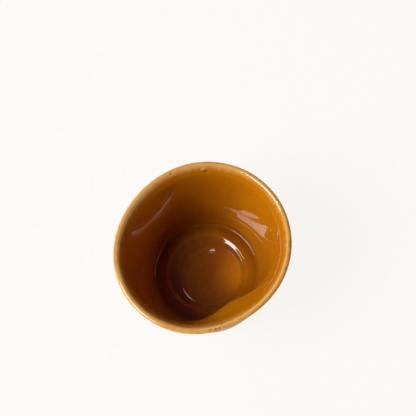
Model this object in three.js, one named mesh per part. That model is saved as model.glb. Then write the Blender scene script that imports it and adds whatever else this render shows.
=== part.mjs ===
// A cortado cup: a small cup of fired stoneware without a handle. Thumb and finger have
// pressed two dimples into its wall, which also draw the round rim in to an oval.
// The clay is one solid. Three separate coats of glaze lie on it: one lines the inside and
// rolls over the lip, one covers the outside down to the foot, and one fills the hollow
// under the cup. The foot ring between the last two is bare clay.
// Millimetres, +Z up. The origin is on the table under the middle of the cup, and X runs
// along the long axis of the oval rim.
import * as THREE from 'three';
import { mergeVertices } from 'three/addons/utils/BufferGeometryUtils.js';

// The clay inside: the floor from its middle outwards, then the wall.
const discRadius = 15.1;
const discDishDepth = 0.45;
const discRounding = 0.5;
const flankWidth = 0.9;
const channelDepth = 0.4;
const channelWidth = 2.8;
const channelRounding = 1.8;
const ringWidth = 1.4;
const ringHeight = 0.8;
const ringRounding = 0.5;
const shelfWidth = 6.5;
const shelfFall = 1.3;
const floorCornerRounding = 1.5;
const wallFlare = 11.7;
const wallBow = 0.55;
const clayHeight = 60.3;

// The clay outside: the lip, the heel where the wall turns in, the foot ring, the hollow.
const lipWidth = 2.0;
const lipRounding = 0.85;
const heelThickness = 3.2;
const heelHeight = 5.8;
const heelRounding = 5.0;
const footHeight = 3.0;
const footOuterRadius = 22.4;
const footTaper = 0.6;
const footRootRounding = 1.0;
const footRingWidth = 5.4;
const footRounding = 0.5;
const hollowTaper = 0.8;
const hollowDepth = 2.6;
const hollowRounding = 1.0;
const floorThickness = 5.3;

// The glaze: its thickness, its clearance to the clay and to the next coat, how far the
// lining reaches down the outside of the lip, and the clay left bare beside the foot ring.
const coatThickness = 0.45;
const coatClearance = 0.25;
const seamClearance = 0.3;
const liningOverLip = 1.8;
const bareHeelBand = 1.8;
const bareHollowBand = 1.5;

// The press of the hand: how far the rim is drawn in, the two dimples, and how far and to
// which side the disc has slipped off the cup's axis.
const rimSqueeze = 0.9;
const thumbDepth = 3.6;
const thumbHeight = 37;
const thumbUpperReach = 19;
const thumbHalfWidth = 20;
const thumbAzimuthDegrees = 98;
const fingerDepth = 7.0;
const fingerHeight = 35;
const fingerUpperReach = 18;
const fingerHalfWidth = 18.5;
const fingerAzimuthDegrees = -106;
const discDrift = 2.8;
const driftAzimuthDegrees = -81;

// How finely the turn and the outline are divided.
const turnSteps = 48;
const roundingSteps = 2;
const lipSteps = 4;
const heelSteps = 3;
const wallSteps = 7;

// Radii and heights that follow from the sizes above.
const flankRadius = discRadius + flankWidth;
const riseRadius = flankRadius + channelWidth;
const ringRadius = riseRadius + ringWidth;
const floorCornerRadius = ringRadius + shelfWidth;
const lipInnerRadius = floorCornerRadius + wallFlare;
const lipOuterRadius = lipInnerRadius + lipWidth;
const discHeight = hollowDepth + floorThickness;
const channelHeight = discHeight - channelDepth;
const crestHeight = channelHeight + ringHeight;
const floorCornerHeight = crestHeight - shelfFall;
const midFloorHeight = hollowDepth + floorThickness / 2;
const heelRadius = floorCornerRadius + heelThickness;
const footBottomRadius = footOuterRadius - footTaper;
const hollowMouthRadius = footBottomRadius - footRingWidth;
const hollowRadius = hollowMouthRadius - hollowTaper;
const midWallRadius = (floorCornerRadius + lipInnerRadius) / 2;
const driftAzimuth = THREE.MathUtils.degToRad(driftAzimuthDegrees);
const thumbDimple = {
  middle: THREE.MathUtils.degToRad(thumbAzimuthDegrees),
  height: thumbHeight,
  upperReach: thumbUpperReach,
  depth: thumbDepth,
  halfWidth: thumbHalfWidth,
};
const fingerDimple = {
  middle: THREE.MathUtils.degToRad(fingerAzimuthDegrees),
  height: fingerHeight,
  upperReach: fingerUpperReach,
  depth: fingerDepth,
  halfWidth: fingerHalfWidth,
};

// A point of an outline, by its radius and its height.
function at(radius, height) {
  return new THREE.Vector2(radius, height);
}

// A point on the straight way from one point towards another, a distance along it.
function along(from, to, distance) {
  return from.clone().addScaledVector(to.clone().sub(from).normalize(), distance);
}

// A corner of an outline: where it is, how far it is rounded and in how many steps, and in
// how many steps the straight stretch before it is divided.
function corner(spot, rounding = 0, steps = roundingSteps, stretchSteps = 1) {
  return { spot, rounding, steps, stretchSteps };
}

// The way out of the clay beside a stretch: square to the left of it, or straight up or
// down on the cup's axis.
function outOf(stretch, onAxis) {
  return onAxis ? new THREE.Vector2(0, Math.sign(stretch.x)) : new THREE.Vector2(-stretch.y, stretch.x);
}

// Walks an outline through its corners. Each sample is a point with its way out of the
// clay, so that a coat can be laid on the outline at any distance.
function walk(corners) {
  const stretches = corners.slice(1).map(({ spot }, index) => spot.clone().sub(corners[index].spot).normalize());
  const samples = [];
  corners.forEach(({ spot, rounding, steps, stretchSteps }, index) => {
    const before = stretches[Math.max(index - 1, 0)];
    const after = stretches[Math.min(index, stretches.length - 1)];
    const turn = Math.atan2(before.cross(after), before.dot(after));
    const start = spot.clone().addScaledVector(before, -rounding * Math.tan(Math.abs(turn) / 2));
    const out = outOf(before, spot.x === 0);
    const reach = -Math.sign(turn) * rounding;
    const centre = start.clone().addScaledVector(out, -reach);
    const last = samples.at(-1);
    for (let step = 1; step < stretchSteps; step += 1) {
      samples.push({ point: last.point.clone().lerp(start, step / stretchSteps), out });
    }
    const arcSteps = reach === 0 ? 0 : steps;
    for (let step = 0; step <= arcSteps; step += 1) {
      const turned = out.clone().rotateAround(new THREE.Vector2(), arcSteps ? (turn * step) / arcSteps : 0);
      samples.push({ point: centre.clone().addScaledVector(turned, reach), out: turned });
    }
  });
  return samples;
}

// A coat of glaze on a stretch of the outline, as a profile that starts and ends on the
// axis or closes on itself.
function coatOn(samples) {
  const laid = (distance) => samples.map(({ point, out }) => point.clone().addScaledVector(out, distance));
  const outside = laid(coatClearance + coatThickness);
  const inside = laid(coatClearance).reverse();
  if (samples[0].point.x === 0) return [...outside, ...inside];
  if (samples.at(-1).point.x === 0) return [...inside, ...outside];
  return [...outside, ...inside, outside[0].clone()];
}

// How deep a dimple is at an azimuth and a height. It fades out down at the floor's corner
// and, more slowly, up towards the rim.
function dimpled({ middle, height: dimpleHeight, upperReach, depth, halfWidth }, azimuth, height) {
  const above = Math.max(height - dimpleHeight, 0) / upperReach;
  const fade = THREE.MathUtils.smoothstep(height, floorCornerHeight, dimpleHeight) * Math.exp(-above * above);
  const turn = Math.atan2(Math.sin(azimuth - middle), Math.cos(azimuth - middle));
  const across = (turn * midWallRadius) / halfWidth;
  return depth * fade * Math.exp(-across * across);
}

// How far the wall has moved towards the axis, at an azimuth and a height. It is bowed in a
// little between floor and rim, drawn in to an oval at the rim, and dimpled. The floor and
// the foot stay round.
function pressedIn(azimuth, height) {
  const rise = THREE.MathUtils.clamp((height - floorCornerHeight) / (clayHeight - floorCornerHeight), 0, 1);
  const bowed = wallBow * Math.sin(Math.PI * rise);
  const squeezed = -rimSqueeze * rise * Math.cos(2 * azimuth);
  return bowed + squeezed + dimpled(thumbDimple, azimuth, height) + dimpled(fingerDimple, azimuth, height);
}

// How much of the disc's slip a place of the floor shares: all of it on the disc, and none
// from the ring outwards or below the middle of the floor.
function slipShare(radius, height) {
  if (height < midFloorHeight) return 0;
  return THREE.MathUtils.clamp((ringRadius - radius) / (ringRadius - discRadius), 0, 1);
}

// A lathe cuts each of its four-sided facets in two along one diagonal. Where the profile
// runs down, this takes the other one, so that all surfaces are cut the same way and a coat
// stays parallel to the clay under it in a dimple too.
function cutAlike(geometry) {
  const position = geometry.getAttribute('position');
  const index = geometry.getIndex();
  for (let facet = 0; facet < index.count; facet += 6) {
    const [here, turned, next, both] = [0, 1, 2, 3].map((place) => index.getX(facet + place));
    if (position.getZ(next) < position.getZ(here)) {
      [here, turned, both, here, both, next].forEach((vertex, place) => index.setX(facet + place, vertex));
    }
  }
}

// Turns a profile about the cup's axis, stands it up along Z, presses the wall in and lets
// the disc slip. The profiles run with the clay on their right, and a lathe's faces point
// out the other way.
function thrown(profile) {
  const geometry = new THREE.LatheGeometry([...profile].reverse(), turnSteps);
  geometry.rotateX(Math.PI / 2);
  geometry.deleteAttribute('normal');
  geometry.deleteAttribute('uv');
  cutAlike(geometry);
  const position = geometry.getAttribute('position');
  for (let index = 0; index < position.count; index += 1) {
    const [x, y, z] = [position.getX(index), position.getY(index), position.getZ(index)];
    const radius = Math.hypot(x, y);
    const share = radius > 0 ? 1 - pressedIn(Math.atan2(y, x), z) / radius : 0;
    const slip = discDrift * slipShare(radius, z);
    position.setXYZ(index, x * share + slip * Math.cos(driftAzimuth), y * share + slip * Math.sin(driftAzimuth), z);
  }
  const merged = mergeVertices(geometry);
  merged.computeVertexNormals();
  return merged;
}

function piece(name, profile, material) {
  const mesh = new THREE.Mesh(thrown(profile), material);
  mesh.name = name;
  return mesh;
}

// The corners of the clay. The coats end at the corners on its straight stretches, so that
// clay and coat are divided at the same places.
const lipTop = at(lipOuterRadius, clayHeight);
const heelTurn = at(heelRadius, heelHeight);
const footTop = at(footOuterRadius, footHeight);
const insideCorners = [
  corner(at(0, discHeight - discDishDepth)),
  corner(at(discRadius, discHeight), discRounding),
  corner(at(flankRadius, channelHeight), channelRounding),
  corner(at(riseRadius, channelHeight), channelRounding),
  corner(at(ringRadius, crestHeight), ringRounding),
  corner(at(floorCornerRadius, floorCornerHeight), floorCornerRounding),
  corner(at(lipInnerRadius, clayHeight), lipRounding, lipSteps, wallSteps),
  corner(lipTop, lipRounding, lipSteps),
  corner(along(lipTop, heelTurn, liningOverLip)),
];
const outsideCorners = [
  corner(along(lipTop, heelTurn, liningOverLip + seamClearance)),
  corner(heelTurn, heelRounding, heelSteps, wallSteps),
  corner(along(footTop, heelTurn, bareHeelBand)),
];
const footCorners = [
  corner(footTop, footRootRounding),
  corner(at(footBottomRadius, 0), footRounding),
  corner(at(hollowMouthRadius, 0), footRounding),
  corner(at(hollowRadius, hollowDepth), hollowRounding),
];
const hollowCorners = [
  corner(at(hollowRadius - bareHollowBand, hollowDepth)),
  corner(at(0, hollowDepth)),
];

// Stoneware fired to a buff colour, in one piece from lip to foot.
const clayOutline = walk([...insideCorners, ...outsideCorners, ...footCorners, ...hollowCorners]);
const stonewareBody = piece(
  'stoneware_body',
  clayOutline.map(({ point }) => point),
  new THREE.MeshStandardMaterial({ color: 0xbfa180, roughness: 0.85, metalness: 0 }),
);

// Amber glaze poured in and out again: it lines the floor and the wall and rolls over the lip.
const innerGlaze = piece(
  'inner_glaze',
  coatOn(walk(insideCorners)),
  new THREE.MeshStandardMaterial({ color: 0xa5610c, roughness: 0.12, metalness: 0 }),
);

// The same glaze on the outside, from below the lip round the heel to just short of the foot.
const outerGlaze = piece(
  'outer_glaze',
  coatOn(walk(outsideCorners)),
  new THREE.MeshStandardMaterial({ color: 0x95550d, roughness: 0.15, metalness: 0 }),
);

// A round patch of glaze in the hollow inside the foot ring.
const undersideGlaze = piece(
  'underside_glaze',
  coatOn(walk(hollowCorners)),
  new THREE.MeshStandardMaterial({ color: 0x8c4f10, roughness: 0.2, metalness: 0 }),
);

const cup = new THREE.Group();
cup.add(stonewareBody, innerGlaze, outerGlaze, undersideGlaze);

export default cup;
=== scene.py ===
"""A cortado cup of glazed stoneware, pressed in by thumb and finger, and the studio it stands in.

The four pieces are the fired clay and three coats of amber glaze. Each is an outline that is
spun about the cup's axis and then pressed, so that clay and glaze keep the same form.
"""

import math
from collections import namedtuple

import bmesh
import bpy
from bpy.props import FloatProperty, FloatVectorProperty, IntProperty, PointerProperty
from mathutils import Matrix, Vector, noise


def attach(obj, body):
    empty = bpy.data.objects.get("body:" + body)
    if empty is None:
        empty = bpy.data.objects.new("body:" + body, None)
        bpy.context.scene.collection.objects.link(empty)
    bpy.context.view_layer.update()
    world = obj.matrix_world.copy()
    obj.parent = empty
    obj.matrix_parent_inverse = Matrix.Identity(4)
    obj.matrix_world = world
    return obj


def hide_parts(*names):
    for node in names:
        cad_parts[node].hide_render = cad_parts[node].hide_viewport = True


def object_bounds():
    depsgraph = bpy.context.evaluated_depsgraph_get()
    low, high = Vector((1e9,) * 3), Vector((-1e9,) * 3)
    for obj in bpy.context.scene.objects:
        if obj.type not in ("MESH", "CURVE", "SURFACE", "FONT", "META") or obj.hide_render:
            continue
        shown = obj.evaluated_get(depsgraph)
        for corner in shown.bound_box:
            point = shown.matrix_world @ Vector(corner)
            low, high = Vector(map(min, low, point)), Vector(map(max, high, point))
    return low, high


bl_info = {
    "name": "Cortado Cup",
    "version": (1, 0, 0),
    "blender": (4, 5, 0),
    "location": "3D View > Sidebar > Cup",
    "description": "Models a dimpled stoneware cup with amber glaze, and the studio it stands in",
    "category": "Add Mesh",
}

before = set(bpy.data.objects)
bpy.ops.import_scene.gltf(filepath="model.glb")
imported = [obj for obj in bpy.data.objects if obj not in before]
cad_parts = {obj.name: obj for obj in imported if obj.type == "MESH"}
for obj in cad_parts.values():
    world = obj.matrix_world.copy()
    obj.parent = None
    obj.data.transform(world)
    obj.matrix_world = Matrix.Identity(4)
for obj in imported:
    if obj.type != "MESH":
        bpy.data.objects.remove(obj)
CAD_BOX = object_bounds()
BODY = "root"
MM = 0.001

Corner = namedtuple("Corner", "spot rounding steps pool")
Sample = namedtuple("Sample", "point out pool")
# Places of the ring, of the wall's foot and of the lip among the inside's corners
RING, FOOT, LIP = 4, 6, 11
# Shares of the shelf and of the wall at which the glaze's depth is given
SHELF_PLACE = 0.6
WALL_PLACES = (0.1, 0.4)
MERGE_DISTANCE = 0.001 * MM
RIPPLES_ROUND = 1.3
# Depths of glaze between which a change begins or ends
ON_LIP = (0.0, 0.14)
ON_THROAT = (0.08, 0.30)
AT_WALL_FOOT = (0.45, 0.65)
LIP_DEPTH = 0.06
# Depth up to which the near side's painted light acts
NEAR_LIGHT_DEPTH = 0.30
# How far to one side a place lies where the painted shade on the far wall and the painted light on the near
# wall begin, and where they are in full
FAR_SHADE_SIDE = (0.3, 1.0)
NEAR_LIGHT_SIDE = (0.3, 0.9)
# Shares of the disc's radius: where its turning marks end, how far the painted light on the
# disc's lit side reaches from a place on the disc's edge, and where it is past the disc. The last
# value says how much weaker the painted light is there
TURNED_TO = 0.8
DISC_LIGHT_REACH = 1.2
BEYOND_DISC = 1.1
BEYOND_SHARE = 0.55
# How flat the streaks' noise is pressed, which draws the streaks out upwards
STREAK_SQUASH = 0.16
# Edges of a speck, as shares of its size, and of a speck in the clay, of the specks' spacing
SPECK_EDGE = (0.4, 1.6)
CLAY_SPECK_EDGE = (0.03, 0.09)
CLAY_SPECKS_PER_SPECK = 3
# Where the marks of a row lie, in steps along the lip
SCUFF_STEPS = (-1.5, 0, 1.2)
# How strongly chips break up a worn mark, and how sharp the edges of marks are
CHIP_STRENGTH = 1.6
WORN_EDGE = (0.55, 0.9)
SHARP_EDGE = (0.2, 0.7)
# How strongly grains and stains show in the clay's colour, about which middle, and between which values
GRAIN_STRENGTH = 1.2
STAIN_STRENGTH = 1.4
CLAY_MIDDLE = 0.5
CLAY_EDGE = (0.2, 0.8)
# In metres
FLOOR_REACH = 20.0
# In millimetres, as cameras have it
SENSOR_WIDTH = 36.0


def length(name, description, millimetres):
    size = millimetres * MM
    return FloatProperty(name=name, description=description, default=size, unit="LENGTH", precision=5)


def share(name, description, value):
    return FloatProperty(name=name, description=description, default=value, subtype="FACTOR", min=0, max=1)


def number(name, description, value):
    return FloatProperty(name=name, description=description, default=value)


def colour(name, description, value):
    return FloatVectorProperty(
        name=name, description=description, default=value, subtype="COLOR", size=3, min=0, max=1,
    )


def angle(name, description, degrees):
    return FloatProperty(name=name, description=description, default=math.radians(degrees), unit="ROTATION")


class CupForm(bpy.types.PropertyGroup):
    """The sizes of the clay, of the coats on it and of the two dimples."""

    disc_radius: length("Disc radius", "Radius of the round field in the middle of the floor", 15.1)
    disc_dish: length("Disc dish", "How far the disc is hollowed at its middle", 0.45)
    disc_rounding: length("Disc rounding", "Rounding of the disc's edge", 1.2)
    flank_width: length("Flank width", "From the disc's edge to the channel round it", 0.55)
    channel_depth: length("Channel depth", "How far the channel lies below the disc's edge", 0.25)
    channel_width: length("Channel width", "Width of the channel's level bottom", 2.85)
    channel_rounding: length("Channel rounding", "Rounding of the channel's two corners", 1.8)
    ring_width: length("Ring width", "From the channel's bottom to the crest of the ring", 1.7)
    ring_height: length("Ring height", "From the channel's bottom to the crest of the ring", 0.8)
    ring_rounding: length("Ring rounding", "Rounding of the ring's crest", 0.4)
    shelf_width: length("Shelf width", "From the ring to the corner of floor and wall", 6.5)
    shelf_fall: length("Shelf fall", "How far the shelf falls towards the wall", 1.3)
    corner_rounding: length("Corner rounding", "Rounding between floor and wall", 1.2)
    wall_flare: length("Wall flare", "How far the wall leans out from floor to throat", 10.1)
    wall_bow: length("Wall bow", "How far the wall bows in between floor and lip", 0.35)
    throat_rounding: length("Throat rounding", "Rounding where the wall begins to open to the lip", 10.0)
    throat_rise: length("Throat rise", "From the throat up to the brink", 4.5)
    throat_width: length("Throat width", "From the throat out to the brink", 1.7)
    brink_rounding: length("Brink rounding", "Rounding of the brink", 3.6)
    brink_width: length("Brink width", "From the brink out and up to the lip", 0.8)
    clay_height: length("Clay height", "Height of the clay over the table", 60.3)
    lip_width: length("Lip width", "Width of the clay at the lip", 1.1)
    lip_rounding: length("Lip rounding", "Rounding of the lip's outer edge", 0.5)
    lip_easing: length("Lip easing", "Rounding of the lip's inner edge", 0.8)
    heel_thickness: length("Heel thickness", "Clay between the floor's corner and the heel", 3.2)
    heel_height: length("Heel height", "Height of the heel over the table", 5.8)
    heel_rounding: length("Heel rounding", "Rounding where the wall turns in to the foot", 5.0)
    foot_height: length("Foot height", "Height of the foot ring", 3.0)
    foot_radius: length("Foot radius", "Outer radius of the foot ring at its root", 22.4)
    foot_taper: length("Foot taper", "How far the foot ring draws in to its underside", 0.6)
    foot_root_rounding: length("Foot root rounding", "Rounding between heel and foot ring", 1.0)
    foot_width: length("Foot width", "Width of the foot ring's underside", 5.4)
    foot_rounding: length("Foot rounding", "Rounding of the foot ring's edges", 0.5)
    hollow_taper: length("Hollow taper", "How far the hollow under the cup draws in", 0.8)
    hollow_depth: length("Hollow depth", "Depth of the hollow under the cup", 2.6)
    hollow_rounding: length("Hollow rounding", "Rounding of the hollow's corner", 1.0)
    floor_thickness: length("Floor thickness", "Clay between the hollow and the disc", 5.3)
    coat_thickness: length("Coat thickness", "Thickness of the glaze", 0.45)
    coat_clearance: length("Coat clearance", "Clearance between glaze and clay", 0.25)
    lining_over_lip: length("Lining over lip", "How far the lining reaches down the outside", 1.8)
    seam: length("Seam", "Clearance between the lining and the outer coat", 0.06)
    bare_heel: length("Bare heel", "Clay left bare above the foot ring", 1.8)
    bare_hollow: length("Bare hollow", "Clay left bare round the patch in the hollow", 1.5)
    rim_squeeze: length("Rim squeeze", "How far the rim is drawn in to an oval", 0.9)
    thumb_depth: length("Thumb depth", "Depth of the thumb's dimple", 3.6)
    thumb_height: length("Thumb height", "Height of the middle of the thumb's dimple", 37.0)
    thumb_reach: length("Thumb reach", "How far the thumb's dimple fades out above its middle", 19.0)
    thumb_half_width: length("Thumb half width", "Half width of the thumb's dimple", 20.0)
    thumb_azimuth: angle("Thumb azimuth", "Where the thumb's dimple lies round the cup", 98.0)
    finger_depth: length("Finger depth", "Depth of the finger's dimple", 7.0)
    finger_height: length("Finger height", "Height of the middle of the finger's dimple", 35.0)
    finger_reach: length("Finger reach", "How far the finger's dimple fades out above its middle", 18.0)
    finger_half_width: length("Finger half width", "Half width of the finger's dimple", 18.5)
    finger_azimuth: angle("Finger azimuth", "Where the finger's dimple lies round the cup", -106.0)
    disc_drift: length("Disc drift", "How far the disc lies off the cup's axis", 2.8)
    drift_azimuth: angle("Drift azimuth", "To which side the disc lies off the axis", -81.0)
    ripple: length("Ripple", "How far the wall departs from a true cone, as hand work does", 0.05)
    ripple_size: length("Ripple size", "Height over which that unevenness changes", 20.0)
    ripple_fade: length("Ripple fade", "Height over the floor at which it is in full", 6.0)
    turn_steps: IntProperty(name="Turn steps", description="Facets round the cup", default=240, min=24)
    stretch: length("Stretch", "Longest straight facet of an outline", 0.9)


class GlazeLook(bpy.types.PropertyGroup):
    """The colours of clay and glaze, their grain, and the marks on the lip."""

    thin: colour("Thin glaze", "Colour where the glaze is drawn thin over the lip", (0.69, 0.35, 0.078))
    even: colour("Even glaze", "Colour of an even coat on the wall", (0.56, 0.180, 0.002))
    deep: colour("Deep glaze", "Colour where the coat is heavy", (0.29, 0.085, 0.002))
    pooled: colour("Pooled glaze", "Colour where the glaze has pooled", (0.10, 0.020, 0.001))
    iron: colour("Iron", "Colour of the specks and worn marks", (0.035, 0.012, 0.004))
    clay: colour("Clay", "Colour of the bare fired clay", (0.48, 0.35, 0.22))
    gloss: share("Gloss roughness", "Roughness of the glaze", 0.018)
    refraction: number("Refraction", "Refractive index of the glaze", 1.6)
    cloud_size: length("Cloud size", "Size of the broad changes in the depth of the glaze", 14.0)
    mottle_size: length("Mottle size", "Size of the small changes in the depth of the glaze", 2.2)
    ring_size: length("Turning mark size", "Distance between the turning marks on the disc", 1.1)
    peel_size: length("Peel size", "Size of the waves in the glaze's surface", 2.6)
    streak_size: length("Streak size", "Distance between the upright streaks", 3.52)
    speck_spacing: length("Speck spacing", "Distance between the iron specks", 7.0)
    speck_size: length("Speck size", "Radius of the iron specks", 0.16)
    grain_size: length("Grain size", "Size of the grains of the bare clay", 0.5)
    even_from: share("Even from", "Depth from which the glaze has its even colour", 0.14)
    even_to: share("Even to", "Depth up to which the glaze has its even colour", 0.30)
    deep_at: share("Deep at", "Depth at which the glaze has its deep colour", 0.72)
    cloud_share: share("Cloud share", "How much the depth changes in broad clouds", 0.14)
    mottle_share: share("Mottle share", "How much the depth changes from spot to spot", 0.08)
    thin_mottle_share: share("Thin mottle share", "How much more it does so on the lip", 0.16)
    streak_share: share("Streak share", "How much the depth changes in upright streaks", 0.10)
    turning_share: share("Turning share", "How much the depth changes in rings on the disc", 0.12)
    peel_height: length("Peel height", "Height of the small waves in the glaze's surface", 0.006)
    wave_height: length("Wave height", "Height of the broad waves in the glaze's surface", 0.01)
    clay_shade: share("Clay shade", "Brightness of the stained clay, as a share of the clay's", 0.72)
    clay_roughness: share("Clay roughness", "Roughness of the bare clay", 0.82)
    grain_height: length("Grain height", "Height of the grains of the bare clay", 0.12)
    grain_roughness: share("Grain roughness", "How much the clay's roughness changes with its grains", 0.2)
    speck_strength: share("Speck strength", "How dark a speck in the glaze is", 0.7)
    clay_speck_strength: share("Clay speck strength", "How dark a speck in the bare clay is", 0.8)
    wear_strength: share("Wear strength", "How dark a worn mark is", 0.85)
    wear_depth: length("Wear depth", "How deep a worn mark is", 0.05)
    mottle_roughness: share("Mottle roughness", "How much rougher the glaze is in its deep spots", 0.06)
    stain_roughness: share("Stain roughness", "How much rougher specks and worn marks are", 0.4)
    # Painted shade: the far wall's glaze is made deeper, so darker, on the side where shade falls
    far_painted_shade: share("Run share", "How much deeper the wall's glaze lies on the side to which it ran", 0.26)
    far_shade_azimuth: angle("Run azimuth", "The side of the wall to which the glaze ran", 66.0)
    # Painted light: the disc's glaze is made shallower, so lighter, on the side where light falls; the glaze
    # inside the lip lies deeper towards that side
    disc_painted_light: share("Bare share", "How much shallower the glaze is at one side of the disc", 0.40)
    lit_azimuth: angle("Bare azimuth", "The side of the disc where the glaze is shallow", -42.0)
    # Painted light: the near wall's and lip's glaze is made thinner, so lighter, standing in for light that
    # falls there
    near_painted_light: share("Drawn share", "How much thinner the glaze is at one side of the lip", 0.6)
    near_light_azimuth: angle("Drawn azimuth", "The side of the lip from which the glaze has drawn away", -148.0)
    lip_depth_base: share("Lip depth", "How much deeper the glaze lies just inside the lip", 0.6)
    lip_depth_swing: share("Lip depth swing", "How much that changes from side to side", 0.75)
    bead_azimuth: angle("Bead azimuth", "Where a bead of glaze hangs inside the lip", 43.0)
    bead_radius: length("Bead radius", "Radius of the bead", 1.71)
    bead_inwards: length("Bead inwards", "How far inside the lip's middle the bead hangs", 2.6)
    bead_depth: length("Bead depth", "How far below the lip the bead hangs", 2.4)
    bead_rise: length("Bead rise", "How far the bead stands out", 0.45)
    lump_azimuth: angle("Lump azimuth", "Where a lump lifts the glaze on the lip", -45.0)
    lump_radius: length("Lump radius", "Radius of the lump", 2.34)
    lump_inwards: length("Lump inwards", "How far inside the lip's middle the lump lies", 1.0)
    lump_depth: length("Lump depth", "How far below the lip the lump lies", 0.5)
    lump_rise: length("Lump rise", "How far the lump stands out", 0.25)
    scuff_azimuth: angle("Scuff azimuth", "Where the lip is worn through in a row of marks", -127.0)
    scuff_spacing: angle("Scuff spacing", "From one of these marks to the next", 2.2)
    scuff_radius: length("Scuff radius", "Radius of one of these marks", 1.6)
    scuff_outwards: length("Scuff outwards", "How far outside the lip's middle they lie", 0.2)
    scuff_strength: share("Scuff strength", "How strong they are beside the other marks", 0.6)
    chip_size: length("Chip size", "Size of the chips along a worn edge", 1.0)
    nick_azimuth: angle("Nick azimuth", "Where the lip has a small nick", -66.4)
    nick_radius: length("Nick radius", "Radius of the nick", 0.9)
    nick_inwards: length("Nick inwards", "How far inside the lip's middle the nick lies", 2.6)
    nick_depth: length("Nick depth", "How far below the lip the nick lies", 1.6)
    pit_azimuth: angle("Pit azimuth", "Where the lip has a dark pit", 67.5)
    pit_radius: length("Pit radius", "Radius of the pit", 0.8)
    pit_inwards: length("Pit inwards", "How far inside the lip's middle the pit lies", 1.0)


class StudioSet(bpy.types.PropertyGroup):
    """The camera, the lights, the floor and the air."""

    ray_elevation: angle("Ray elevation", "Elevation of the line from the camera to the rim's middle", 74.5)
    ray_azimuth: angle("Ray azimuth", "Direction in which that line runs, turned from +Y", -37.0)
    ray_length: length("Ray length", "Distance from the camera to the rim's middle", 450.0)
    axis_elevation: angle("Axis elevation", "How far the camera's axis points down", 72.4)
    axis_azimuth: angle("Axis azimuth", "Direction of the camera's axis, turned from +Y", -39.28)
    camera_roll: angle("Camera roll", "Turn of the camera about its axis", -7.0)
    focal_pixels: number("Focal length", "Focal length in pixels of the frame", 985.0)
    frame_pixels: number("Frame", "Width and height of the frame in pixels", 416.0)
    window_azimuth: angle("Window azimuth", "Where the window stands round the cup, turned from +X", 155.0)
    window_elevation: angle("Window elevation", "How high the window stands", 50.5)
    window_distance: length("Window distance", "From the cup to the window", 2500.0)
    window_width: length("Window width", "Width of the window", 1280.0)
    window_height: length("Window height", "Height of the window", 1340.0)
    window_radiance: number("Window radiance", "Brightness of the window, where 1 is white", 15.0)
    lamp_azimuth: angle("Lamp azimuth", "Where the small lamp hangs round the cup, turned from +X", 52.9)
    lamp_elevation: angle("Lamp elevation", "How high the small lamp hangs", 77.6)
    lamp_size: length("Lamp size", "Width of the small lamp", 6.0)
    lamp_radiance: number("Lamp radiance", "Brightness of the small lamp, where 1 is white", 22.0)
    fill_azimuth: angle("Fill azimuth", "Where the soft fill stands round the cup, turned from +X", 80.0)
    fill_elevation: angle("Fill elevation", "How high the soft fill stands", 32.0)
    fill_width: length("Fill width", "Width of the soft fill", 2600.0)
    fill_height: length("Fill height", "Height of the soft fill", 1100.0)
    fill_radiance: number("Fill radiance", "Brightness of the soft fill, where 1 is white", 1.1)
    air: number("Air", "Brightness of the room, where 1 is white", 0.04)
    haze_elevation: angle("Haze elevation", "How high the backdrop's colour reaches over the horizon", 25.0)
    air_tint: colour("Air tint", "Colour of the room", (1.0, 0.99, 0.97))
    paper_roughness: share("Paper roughness", "Roughness of the floor", 0.9)
    paper: colour("Paper", "Colour of the floor in light", (0.86, 0.85, 0.82))
    backdrop: colour("Backdrop", "Colour that floor and horizon show to the camera", (0.965, 0.955, 0.92))
    backdrop_share: share("Backdrop share", "How much of the floor's look is the backdrop", 0.93)


def settings():
    scene = bpy.context.scene
    return scene.cup_form, scene.glaze_look, scene.studio_set


# Outlines


def walk(corners, stretch):
    """Samples an outline through its corners, each with its way out of the clay."""
    ways = [(b.spot - a.spot).normalized() for a, b in zip(corners, corners[1:])]
    samples = []
    for index, corner in enumerate(corners):
        before = ways[max(index - 1, 0)]
        after = ways[min(index, len(ways) - 1)]
        turn = math.atan2(before.x * after.y - before.y * after.x, before.dot(after))
        start = corner.spot - before * corner.rounding * math.tan(abs(turn) / 2)
        out = Vector((0, math.copysign(1, before.x))) if corner.spot.x == 0 else Vector((-before.y, before.x))
        reach = -math.copysign(corner.rounding, turn)
        if samples:
            last = samples[-1]
            parts = max(1, math.ceil((start - last.point).length / stretch))
            for part in range(1, parts):
                way = part / parts
                pool = last.pool + (corner.pool - last.pool) * way
                samples.append(Sample(last.point.lerp(start, way), out, pool))
        steps = corner.steps if corner.rounding else 0
        for step in range(steps + 1):
            turned = Matrix.Rotation(turn * step / steps, 2) @ out if steps else out
            samples.append(Sample(start + (turned - out) * reach, turned, corner.pool))
    return samples


def toward(start, end, distance):
    """The point at a distance from start on the way to end."""
    return start + (end - start).normalized() * distance


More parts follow.
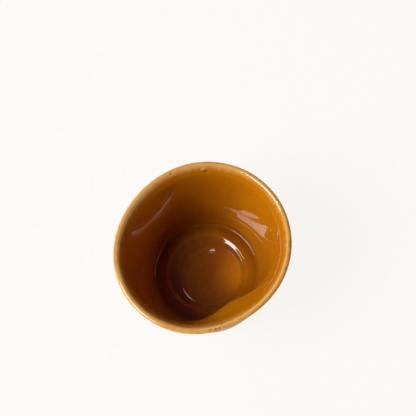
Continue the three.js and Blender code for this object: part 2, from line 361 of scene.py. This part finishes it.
def inside_corners(form):
    """The inside of the clay, from the middle of the floor over the lip. The last value of
    each corner says how deep the glaze lies there, from 0 on the lip to 1 in a pool."""
    disc = form.hollow_depth + form.floor_thickness
    channel = disc - form.channel_depth
    ring = channel + form.ring_height
    shelf = ring - form.shelf_fall
    flank_radius = form.disc_radius + form.flank_width
    rise_radius = flank_radius + form.channel_width
    ring_radius = rise_radius + form.ring_width
    foot = Vector((ring_radius + form.shelf_width, shelf))
    lip = Vector((foot.x + form.wall_flare + form.throat_width + form.brink_width, form.clay_height))
    brink = lip - Vector((form.brink_width, form.brink_width))
    throat = brink - Vector((form.throat_width, form.throat_rise))
    return [
        Corner(Vector((0, disc - form.disc_dish)), 0, 0, 0.84),
        Corner(Vector((form.disc_radius, disc)), form.disc_rounding, 8, 0.78),
        Corner(Vector((flank_radius, channel)), form.channel_rounding, 8, 0.80),
        Corner(Vector((rise_radius, channel)), form.channel_rounding, 8, 0.80),
        Corner(Vector((ring_radius, ring)), form.ring_rounding, 8, 0.72),
        Corner(Vector((ring_radius, ring)).lerp(foot, SHELF_PLACE), 0, 0, 0.80),
        Corner(foot, form.corner_rounding, 10, 0.76),
        Corner(foot.lerp(throat, WALL_PLACES[0]), 0, 0, 0.52),
        Corner(foot.lerp(throat, WALL_PLACES[1]), 0, 0, 0.42),
        Corner(throat, form.throat_rounding, 8, 0.22),
        Corner(brink, form.brink_rounding, 6, 0.05),
        Corner(lip, form.lip_easing, 8, 0.0),
        Corner(lip + Vector((form.lip_width, 0)), form.lip_rounding, 8, 0.03),
    ]


def outer_line(form):
    """The top and the heel of the outer wall, and the root of the foot ring."""
    corners = inside_corners(form)
    top = corners[-1].spot
    heel = Vector((corners[FOOT].spot.x + form.heel_thickness, form.heel_height))
    root = Vector((form.foot_radius, form.foot_height))
    return top, heel, root


def lining_corners(form):
    """What the lining lies on: the inside, the lip and a band below it outside."""
    top, heel, _ = outer_line(form)
    return inside_corners(form) + [
        Corner(toward(top, heel, form.lining_over_lip / 3), 0, 0, 0.70),
        Corner(toward(top, heel, form.lining_over_lip), 0, 0, 0.70),
    ]


def outer_corners(form):
    """What the outer coat lies on, from below the lining to above the foot."""
    top, heel, root = outer_line(form)
    return [
        Corner(toward(top, heel, form.lining_over_lip + form.seam), 0, 0, 0.70),
        Corner(heel, form.heel_rounding, 10, 0.75),
        Corner(toward(root, heel, form.bare_heel), 0, 0, 0.95),
    ]


def foot_corners(form):
    """The bare clay from the heel round the foot ring to the hollow."""
    bottom = form.foot_radius - form.foot_taper
    mouth = bottom - form.foot_width
    return [
        Corner(Vector((form.foot_radius, form.foot_height)), form.foot_root_rounding, 6, 0),
        Corner(Vector((bottom, 0)), form.foot_rounding, 6, 0),
        Corner(Vector((mouth, 0)), form.foot_rounding, 6, 0),
        Corner(Vector((mouth - form.hollow_taper, form.hollow_depth)), form.hollow_rounding, 6, 0),
    ]


def hollow_corners(form):
    """What the patch under the cup lies on."""
    edge = form.foot_radius - form.foot_taper - form.foot_width - form.hollow_taper - form.bare_hollow
    return [
        Corner(Vector((edge, form.hollow_depth)), 0, 0, 0.3),
        Corner(Vector((0, form.hollow_depth)), 0, 0, 0.7),
    ]


def coat_on(form, samples):
    """The closed profile of a coat of glaze that lies on these samples."""
    under = form.coat_clearance
    over = under + form.coat_thickness
    outside = [Sample(s.point + s.out * over, s.out, s.pool) for s in samples]
    inside = [Sample(s.point + s.out * under, s.out, s.pool) for s in reversed(samples)]
    if samples[-1].point.x == 0:
        return inside + outside
    return outside + inside


# Form


class Hand:
    """The press of thumb and finger on the soft wall, and the unevenness that a hand leaves."""

    def __init__(self, form):
        corners = inside_corners(form)
        self.disc_radius = form.disc_radius
        self.ring_radius = corners[RING].spot.x
        self.floor = corners[FOOT].spot
        self.lip = corners[LIP].spot
        self.middle_radius = (self.floor.x + self.lip.x) / 2
        self.bow = form.wall_bow
        self.squeeze = form.rim_squeeze
        self.dimples = [self.dimple(form, "thumb"), self.dimple(form, "finger")]
        self.form = form
        self.drift = Vector((math.cos(form.drift_azimuth), math.sin(form.drift_azimuth))) * form.disc_drift
        self.under_floor = form.hollow_depth + form.floor_thickness / 2

    @staticmethod
    def dimple(form, digit):
        """The sizes of the thumb's or the finger's dimple."""
        parts = ("azimuth", "height", "reach", "depth", "half_width")
        return [getattr(form, f"{digit}_{part}") for part in parts]

    def pressed(self, azimuth, height):
        """How far the wall is moved towards the axis."""
        rise = min(max((height - self.floor.y) / (self.lip.y - self.floor.y), 0), 1)
        pressed = self.bow * math.sin(math.pi * rise) - self.squeeze * rise * math.cos(2 * azimuth)
        for middle, dimple_height, reach, depth, half_width in self.dimples:
            ramp = min(max((height - self.floor.y) / (dimple_height - self.floor.y), 0), 1)
            above = max(height - dimple_height, 0) / reach
            fade = ramp * ramp * (3 - 2 * ramp) * math.exp(-above * above)
            across = math.remainder(azimuth - middle, math.tau) * self.middle_radius / half_width
            pressed += depth * fade * math.exp(-across * across)
        return pressed

    def rippled(self, azimuth, height):
        """How far the wall departs from the pressed cone."""
        rise = min(max((height - self.floor.y) / self.form.ripple_fade, 0), 1)
        spot = Vector((math.cos(azimuth), math.sin(azimuth), height / self.form.ripple_size))
        return self.form.ripple * rise * noise.noise(spot * RIPPLES_ROUND)

    def shape(self, mesh):
        """Presses the wall and slips the disc to its side."""
        drift_width = self.ring_radius - self.disc_radius
        for vert in mesh.verts:
            radius = math.hypot(vert.co.x, vert.co.y)
            height = vert.co.z
            if radius:
                azimuth = math.atan2(vert.co.y, vert.co.x)
                moved = self.pressed(azimuth, height) + self.rippled(azimuth, height)
                vert.co.xy *= 1 - moved / radius
            if height > self.under_floor and radius < self.ring_radius:
                vert.co.xy += self.drift * min((self.ring_radius - radius) / drift_width, 1)


def thrown(name, form, profile, closed):
    """Spins a profile about the cup's axis, presses it and returns the finished object."""
    mesh = bmesh.new()
    pool = mesh.verts.layers.float.new("pool")
    line = []
    for sample in profile:
        vert = mesh.verts.new((sample.point.x, 0, sample.point.y))
        vert[pool] = sample.pool
        line.append(vert)
    pairs = zip(line, line[1:] + line[:1] if closed else line[1:])
    edges = [mesh.edges.new(pair) for pair in pairs]
    bmesh.ops.spin(
        mesh, geom=line + edges, cent=(0, 0, 0), axis=(0, 0, 1),
        angle=math.tau, steps=form.turn_steps, use_merge=True, use_duplicate=False,
    )
    bmesh.ops.remove_doubles(mesh, verts=mesh.verts, dist=MERGE_DISTANCE)
    bmesh.ops.recalc_face_normals(mesh, faces=mesh.faces)
    Hand(form).shape(mesh)
    for face in mesh.faces:
        face.smooth = True
    data = bpy.data.meshes.new(name)
    mesh.to_mesh(data)
    mesh.free()
    piece = bpy.data.objects.new(name, data)
    bpy.context.scene.collection.objects.link(piece)
    return piece


def finish_piece(piece, material, node):
    """Gives a piece its material, hides the solid that it stands for and hangs the piece under the body."""
    piece.data.materials.append(material)
    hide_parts(node)
    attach(piece, BODY)


# Materials


class Field:
    """A shader socket that can be used in Python expressions."""

    def __init__(self, shader, socket):
        self.shader = shader
        self.socket = socket

    def _math(self, operation, *values):
        return self.shader.node("ShaderNodeMath", {"operation": operation}, dict(enumerate(values)))

    def __add__(self, other):
        return self._math("ADD", self, other)

    __radd__ = __add__

    def __mul__(self, other):
        return self._math("MULTIPLY", self, other)

    def __sub__(self, other):
        return self._math("SUBTRACT", self, other)

    def __rsub__(self, other):
        return self._math("SUBTRACT", other, self)

    def __truediv__(self, other):
        return self._math("DIVIDE", self, other)

    def least(self, other):
        return self._math("MINIMUM", self, other)

    def most(self, other):
        return self._math("MAXIMUM", self, other)

    def between(self, low, high):
        """0 below low, 1 above high, smooth between them."""
        return self.shader.node(
            "ShaderNodeMapRange", {"interpolation_type": "SMOOTHSTEP"},
            {"Value": self, "From Min": low, "From Max": high, "To Min": 0.0, "To Max": 1.0},
        )


class Shader:
    """Adds nodes to one material or to the world."""

    def __init__(self, owner, surface="Principled BSDF"):
        owner.use_nodes = True
        self.owner = owner
        self.tree = owner.node_tree
        self.surface = self.tree.nodes[surface]

    def node(self, kind, options=None, sockets=None, output=0):
        made = self.tree.nodes.new(kind)
        for option, value in (options or {}).items():
            if option == "stops":
                self._stops(made.color_ramp, value)
            else:
                setattr(made, option, value)
        for socket, value in (sockets or {}).items():
            self.feed(made.inputs[socket], value)
        return Field(self, made.outputs[output])

    @staticmethod
    def _stops(ramp, stops):
        while len(ramp.elements) < len(stops):
            ramp.elements.new(1.0)
        for element, (place, value) in zip(ramp.elements, stops):
            element.position = place
            element.color = (*value, 1.0)

    def feed(self, socket, value):
        if isinstance(value, Field):
            self.tree.links.new(value.socket, socket)
        else:
            socket.default_value = value

    def set(self, **values):
        for name, value in values.items():
            self.feed(self.surface.inputs[name.replace("_", " ")], value)

    def noise(self, place, size, detail=2.0, roughness=0.5):
        """Noise about 0 whose features are about size apart."""
        sockets = {"Vector": place, "Scale": 1 / size, "Detail": detail, "Roughness": roughness}
        return self.node("ShaderNodeTexNoise", {}, sockets) - 0.5

    def vector(self, operation, one, two, output=0):
        return self.node("ShaderNodeVectorMath", {"operation": operation}, {0: one, 1: two}, output)

    def near(self, place, spot, radius):
        """1 at a spot, 0 from a radius on, smooth between them."""
        return 1 - self.vector("DISTANCE", place, spot, 1).between(0.0, radius)

    def bump(self, height):
        """A height in millimetres as a normal."""
        return self.node("ShaderNodeBump", {}, {"Strength": 1.0, "Distance": MM, "Height": height})

    def specks(self, place, spacing, inner, outer):
        """1 in the middle of scattered specks, 0 outside them. Both radii are shares of the spacing."""
        cells = self.node("ShaderNodeTexVoronoi", {}, {"Vector": place, "Scale": 1 / spacing})
        return 1 - cells.between(inner, outer)

    def along(self, place, azimuth):
        """How far a place lies to the side at this azimuth."""
        return self.vector("DOT_PRODUCT", place, (math.cos(azimuth), math.sin(azimuth), 0), 1)

    def radius(self, place):
        """How far a place lies off the upright axis."""
        return self.vector("LENGTH", self.vector("MULTIPLY", place, (1, 1, 0)), (0, 0, 0), 1)

    def mix(self, factor, one, two):
        return self.node("ShaderNodeMix", {"data_type": "RGBA"}, {"Factor": factor, 6: one, 7: two}, output=2)


def on_lip(form, azimuth, inwards=0.0, below=0.0):
    """A place on the glaze of the lip, at an azimuth, moved inwards and down."""
    hand = Hand(form)
    height = hand.lip.y
    radius = hand.lip.x + form.lip_width / 2 - inwards - hand.pressed(azimuth, height)
    top = height + form.coat_clearance + form.coat_thickness
    return Vector((math.cos(azimuth) * radius, math.sin(azimuth) * radius, top - below))


def lip_marks(shader, place, form, look):
    """A mask of the worn marks on the lip, and the height of its lumps of glaze in millimetres."""
    def mark(azimuth, inwards, below, radius):
        return shader.near(place, on_lip(form, azimuth, inwards, below), radius)

    wear = 0
    for step in SCUFF_STEPS:
        azimuth = look.scuff_azimuth + look.scuff_spacing * step
        wear = mark(azimuth, -look.scuff_outwards, 0, look.scuff_radius) + wear
    chips = shader.noise(place, look.chip_size, detail=4.0, roughness=0.7)
    wear = (wear + chips * CHIP_STRENGTH).between(*WORN_EDGE) * look.scuff_strength
    nick = mark(look.nick_azimuth, look.nick_inwards, look.nick_depth, look.nick_radius)
    pit = mark(look.pit_azimuth, look.pit_inwards, 0, look.pit_radius)
    wear = wear.most(pit.between(*SHARP_EDGE)).most(nick.between(*SHARP_EDGE))
    bead = mark(look.bead_azimuth, look.bead_inwards, look.bead_depth, look.bead_radius)
    lump = mark(look.lump_azimuth, look.lump_inwards, look.lump_depth, look.lump_radius)
    return wear, bead * (look.bead_rise / MM) + lump * (look.lump_rise / MM)


def glaze_depth(shader, place, mottle, form, look):
    """How deep the glaze lies, from 0 where it is drawn thin to 1 in a pool, with painted shade and painted
    light on some sides.
    """
    hand = Hand(form)
    drift = hand.drift.to_3d()
    pool = shader.node("ShaderNodeAttribute", {"attribute_name": "pool"}, output=2)
    depth = pool

    # Painted shade: the wall's glaze is made deeper, so darker, towards the far side, where shade falls
    to_far_shade = shader.along(place, look.far_shade_azimuth) / shader.radius(place)
    on_wall = pool.between(*ON_THROAT) * (1 - pool.between(*AT_WALL_FOOT))
    depth = depth + to_far_shade.between(*FAR_SHADE_SIDE) * on_wall * look.far_painted_shade

    to_lit_side = shader.along(place, look.lit_azimuth) / hand.lip.x
    inside_lip = to_lit_side * look.lip_depth_swing + look.lip_depth_base
    depth = depth + pool.least(LIP_DEPTH) * inside_lip

    from_disc = shader.radius(shader.vector("SUBTRACT", place, drift))
    # Painted light: the glaze is made shallower, so lighter, round the disc's edge on the side where light
    # falls
    lit_side = Vector((math.cos(look.lit_azimuth), math.sin(look.lit_azimuth), 0))
    disc_edge = drift + lit_side * form.disc_radius
    disc_edge.z = form.floor_thickness + form.hollow_depth
    beyond_disc = from_disc.between(form.disc_radius, form.disc_radius * BEYOND_DISC)
    bare = shader.near(place, disc_edge, form.disc_radius * DISC_LIGHT_REACH) * (1 - beyond_disc * BEYOND_SHARE)
    depth = depth - bare * look.disc_painted_light

    # Painted light: the glaze is made thinner, so lighter, on the near wall and lip, standing in for light
    # that falls there
    to_near_light = shader.along(place, look.near_light_azimuth) / hand.lip.x
    depth = depth - to_near_light.between(*NEAR_LIGHT_SIDE) * pool.least(NEAR_LIGHT_DEPTH) * look.near_painted_light

    clouds = shader.noise(place, look.cloud_size, detail=3.0)
    upright = shader.vector("MULTIPLY", place, (1, 1, STREAK_SQUASH))
    streaks = shader.noise(upright, look.streak_size)
    turning = shader.noise(shader.node("ShaderNodeCombineXYZ", {}, {0: from_disc}), look.ring_size)
    on_disc = 1 - from_disc.between(form.disc_radius * TURNED_TO, form.disc_radius)
    thinness = 1 - pool.between(*ON_LIP)
    depth = depth + clouds * look.cloud_share + mottle * look.mottle_share + streaks * look.streak_share
    return depth + turning * on_disc * look.turning_share + mottle * thinness * look.thin_mottle_share


def glaze_material(look, name, form):
    """Transparent amber glaze, whose colour follows how deep it lies, painted shade and painted light
    included.
    """
    shader = Shader(bpy.data.materials.new(name))
    place = shader.node("ShaderNodeTexCoord", output=3)
    mottle = shader.noise(place, look.mottle_size, detail=3.0, roughness=0.6)
    stops = [
        (0.0, look.thin), (look.even_from, look.even), (look.even_to, look.even),
        (look.deep_at, look.deep), (1.0, look.pooled),
    ]
    depth = glaze_depth(shader, place, mottle, form, look)
    tint = shader.node("ShaderNodeValToRGB", {"stops": stops}, {"Fac": depth})
    inner, outer = (edge * look.speck_size / look.speck_spacing for edge in SPECK_EDGE)
    speck = shader.specks(place, look.speck_spacing, inner, outer)
    wear, lumps = lip_marks(shader, place, form, look)
    stain = (speck * look.speck_strength).most(wear * look.wear_strength)
    tint = shader.mix(stain, tint, (*look.iron, 1))
    peel = shader.noise(place, look.peel_size)
    waves = shader.noise(place, look.cloud_size, detail=1.0)
    height = peel * (look.peel_height / MM) + waves * (look.wave_height / MM)
    height = height + lumps - wear * (look.wear_depth / MM)
    gloss = look.gloss + mottle.most(0) * look.mottle_roughness + stain * look.stain_roughness
    shader.set(Base_Color=tint, Roughness=gloss, Normal=shader.bump(height), IOR=look.refraction)
    return shader.owner


def clay_material(look):
    """Bare fired clay, grainy, darker where it is rubbed and stained."""
    shader = Shader(bpy.data.materials.new("bare_stoneware"))
    place = shader.node("ShaderNodeTexCoord", output=3)
    grain = shader.noise(place, look.grain_size, detail=4.0, roughness=0.65)
    stains = shader.noise(place, look.cloud_size, detail=3.0)
    shade = [channel * look.clay_shade for channel in look.clay]
    clean = (grain * GRAIN_STRENGTH + stains * STAIN_STRENGTH + CLAY_MIDDLE).between(*CLAY_EDGE)
    tint = shader.mix(clean, (*shade, 1), (*look.clay, 1))
    speck = shader.specks(place, look.speck_spacing / CLAY_SPECKS_PER_SPECK, *CLAY_SPECK_EDGE)
    tint = shader.mix(speck * look.clay_speck_strength, tint, (*look.iron, 1))
    bump = shader.bump(grain * (look.grain_height / MM))
    shader.set(Base_Color=tint, Normal=bump, Roughness=look.clay_roughness + grain * look.grain_roughness)
    return shader.owner


# Operators


class CUP_OT_stoneware(bpy.types.Operator):
    """Models the fired clay, in one piece from lip to foot"""

    bl_idname = "cup.stoneware"
    bl_label = "Stoneware body"

    def execute(self, context):
        form, look, _ = settings()
        corners = lining_corners(form) + outer_corners(form) + foot_corners(form) + hollow_corners(form)
        piece = thrown("fired_clay", form, walk(corners, form.stretch), False)
        finish_piece(piece, clay_material(look), "stoneware_body")
        return {"FINISHED"}


class CUP_OT_lining(bpy.types.Operator):
    """Models the glaze on the inside and over the lip"""

    bl_idname = "cup.lining"
    bl_label = "Inner glaze"

    def execute(self, context):
        form, look, _ = settings()
        profile = coat_on(form, walk(lining_corners(form), form.stretch))
        piece = thrown("lining_glaze", form, profile, False)
        finish_piece(piece, glaze_material(look, "amber_lining", form), "inner_glaze")
        return {"FINISHED"}


class CUP_OT_outer_coat(bpy.types.Operator):
    """Models the glaze on the outside, down to the heel"""

    bl_idname = "cup.outer_coat"
    bl_label = "Outer glaze"

    def execute(self, context):
        form, look, _ = settings()
        profile = coat_on(form, walk(outer_corners(form), form.stretch))
        piece = thrown("outer_coat_glaze", form, profile, True)
        finish_piece(piece, glaze_material(look, "amber_outside", form), "outer_glaze")
        return {"FINISHED"}


class CUP_OT_hollow_patch(bpy.types.Operator):
    """Models the patch of glaze in the hollow under the cup"""

    bl_idname = "cup.hollow_patch"
    bl_label = "Underside glaze"

    def execute(self, context):
        form, look, _ = settings()
        profile = coat_on(form, walk(hollow_corners(form), form.stretch))
        piece = thrown("hollow_patch_glaze", form, profile, False)
        glaze = glaze_material(look, "amber_underside", form)
        finish_piece(piece, glaze, "underside_glaze")
        return {"FINISHED"}


class CUP_OT_studio(bpy.types.Operator):
    """Sets the pale floor, the lights and the camera"""

    bl_idname = "cup.studio"
    bl_label = "Studio"

    def execute(self, context):
        _, _, studio = settings()
        scene = context.scene
        self.floor(studio)
        self.world(scene, studio)
        distance = studio.window_distance
        window = self.light("window", studio.window_azimuth, studio.window_elevation, distance)
        self.shine(window, "RECTANGLE", studio.window_width, studio.window_height, studio.window_radiance)
        fill = self.light("soft_fill", studio.fill_azimuth, studio.fill_elevation, distance)
        self.shine(fill, "RECTANGLE", studio.fill_width, studio.fill_height, studio.fill_radiance)
        lamp = self.light("small_lamp", studio.lamp_azimuth, studio.lamp_elevation, distance)
        self.shine(lamp, "ELLIPSE", studio.lamp_size, studio.lamp_size, studio.lamp_radiance)
        self.camera(scene, studio)
        scene.view_settings.view_transform = "Standard"
        return {"FINISHED"}

    def floor(self, studio):
        """A level sheet of pale paper, which shows the camera mostly its own even colour."""
        mesh = bmesh.new()
        bmesh.ops.create_grid(mesh, x_segments=1, y_segments=1, size=FLOOR_REACH)
        data = bpy.data.meshes.new("studio_floor")
        mesh.to_mesh(data)
        mesh.free()
        floor = bpy.data.objects.new("studio_floor", data)
        bpy.context.scene.collection.objects.link(floor)
        shader = Shader(bpy.data.materials.new("studio_paper"))
        shader.set(Base_Color=(*studio.paper, 1), Roughness=studio.paper_roughness)
        even = shader.node("ShaderNodeEmission", {}, {"Color": (*studio.backdrop, 1), "Strength": 1.0})
        self.show(shader, "Material Output", self.seen(shader) * studio.backdrop_share, even)
        data.materials.append(shader.owner)

    def world(self, scene, studio):
        """Dim air, and the backdrop's colour for what is seen near the horizon."""
        world = bpy.data.worlds.new("studio_air")
        scene.world = world
        shader = Shader(world, "Background")
        shader.set(Color=(*studio.air_tint, 1), Strength=studio.air)
        way = shader.node("ShaderNodeTexCoord")
        height = shader.node("ShaderNodeSeparateXYZ", {}, {0: way}, output=2)
        top = math.sin(studio.haze_elevation)
        low = 1 - height.between(top / 2, top)
        even = shader.node("ShaderNodeBackground", {}, {"Color": (*studio.backdrop, 1), "Strength": 1.0})
        self.show(shader, "World Output", self.seen(shader) * low, even)

    @staticmethod
    def seen(shader):
        """1 for what the camera sees, also mirrored or through glass."""
        rays = shader.tree.nodes.new("ShaderNodeLightPath")
        seen = Field(shader, rays.outputs["Is Camera Ray"]).most(Field(shader, rays.outputs["Is Glossy Ray"]))
        return seen.most(Field(shader, rays.outputs["Is Transmission Ray"]))

    @staticmethod
    def show(shader, output, factor, even):
        """Mixes an even colour into a surface and makes the mix what is rendered."""
        lit = Field(shader, shader.surface.outputs[0])
        both = shader.node("ShaderNodeMixShader", {}, {0: factor, 1: lit, 2: even})
        shader.feed(shader.tree.nodes[output].inputs["Surface"], both)

    def light(self, name, azimuth, elevation, distance):
        """A flat light that faces the middle of the rim."""
        light = bpy.data.lights.new(name, "AREA")
        lamp = bpy.data.objects.new(name, light)
        bpy.context.scene.collection.objects.link(lamp)
        across = math.cos(elevation)
        way = Vector((math.cos(azimuth) * across, math.sin(azimuth) * across, math.sin(elevation)))
        lamp.location = Vector((0, 0, CAD_BOX[1][2])) + way * distance
        lamp.rotation_euler = way.to_track_quat("Z", "Y").to_euler()
        return light

    def shine(self, light, shape, width, height, radiance):
        """Gives a flat light its size, and the power that makes it this bright."""
        light.shape = shape
        light.size = width
        light.size_y = height
        area = width * height if shape == "RECTANGLE" else math.pi / 4 * width * height
        light.energy = radiance * math.pi * area

    def camera(self, scene, studio):
        """The camera, placed by its ray to the rim's middle and turned by its own axis."""
        data = bpy.data.cameras.new("studio_camera")
        data.sensor_width = SENSOR_WIDTH
        data.lens = studio.focal_pixels / studio.frame_pixels * data.sensor_width
        data.clip_start = 10 * MM
        camera = bpy.data.objects.new("studio_camera", data)
        scene.collection.objects.link(camera)
        rim = Vector((0, 0, CAD_BOX[1][2]))
        ray = self.way(studio.ray_elevation, studio.ray_azimuth)
        forward = self.way(studio.axis_elevation, studio.axis_azimuth)
        level = forward.cross(Vector((0, 0, 1))).normalized()
        up = level.cross(forward)
        turn = Matrix((level, up, -forward)).transposed()
        turn = turn @ Matrix.Rotation(studio.camera_roll, 3, "Z")
        camera.matrix_world = Matrix.Translation(rim - ray * studio.ray_length) @ turn.to_4x4()
        scene.camera = camera

    @staticmethod
    def way(elevation, azimuth):
        """The direction that points down by an elevation, turned from +Y."""
        across = math.cos(elevation)
        return Vector((-math.sin(azimuth) * across, math.cos(azimuth) * across, -math.sin(elevation)))


class CUP_PT_panel(bpy.types.Panel):
    """Lists the steps that build the cup"""

    bl_idname = "CUP_PT_panel"
    bl_label = "Cortado Cup"
    bl_space_type = "VIEW_3D"
    bl_region_type = "UI"
    bl_category = "Cup"

    def draw(self, context):
        for operator in OPERATORS:
            self.layout.operator(operator.bl_idname)
        for group in (context.scene.cup_form, context.scene.glaze_look, context.scene.studio_set):
            box = self.layout.box()
            for name in group.__annotations__:
                box.prop(group, name)


GROUPS = (CupForm, GlazeLook, StudioSet)
OPERATORS = (CUP_OT_stoneware, CUP_OT_lining, CUP_OT_outer_coat, CUP_OT_hollow_patch, CUP_OT_studio)


def register():
    for cls in (*GROUPS, *OPERATORS, CUP_PT_panel):
        bpy.utils.register_class(cls)
    bpy.types.Scene.cup_form = PointerProperty(type=CupForm)
    bpy.types.Scene.glaze_look = PointerProperty(type=GlazeLook)
    bpy.types.Scene.studio_set = PointerProperty(type=StudioSet)


def unregister():
    del bpy.types.Scene.studio_set
    del bpy.types.Scene.glaze_look
    del bpy.types.Scene.cup_form
    for cls in reversed((*GROUPS, *OPERATORS, CUP_PT_panel)):
        bpy.utils.unregister_class(cls)


def main():
    register()
    bpy.ops.cup.stoneware()
    bpy.ops.cup.lining()
    bpy.ops.cup.outer_coat()
    bpy.ops.cup.hollow_patch()
    bpy.ops.cup.studio()


if __name__ == "__main__":
    main()
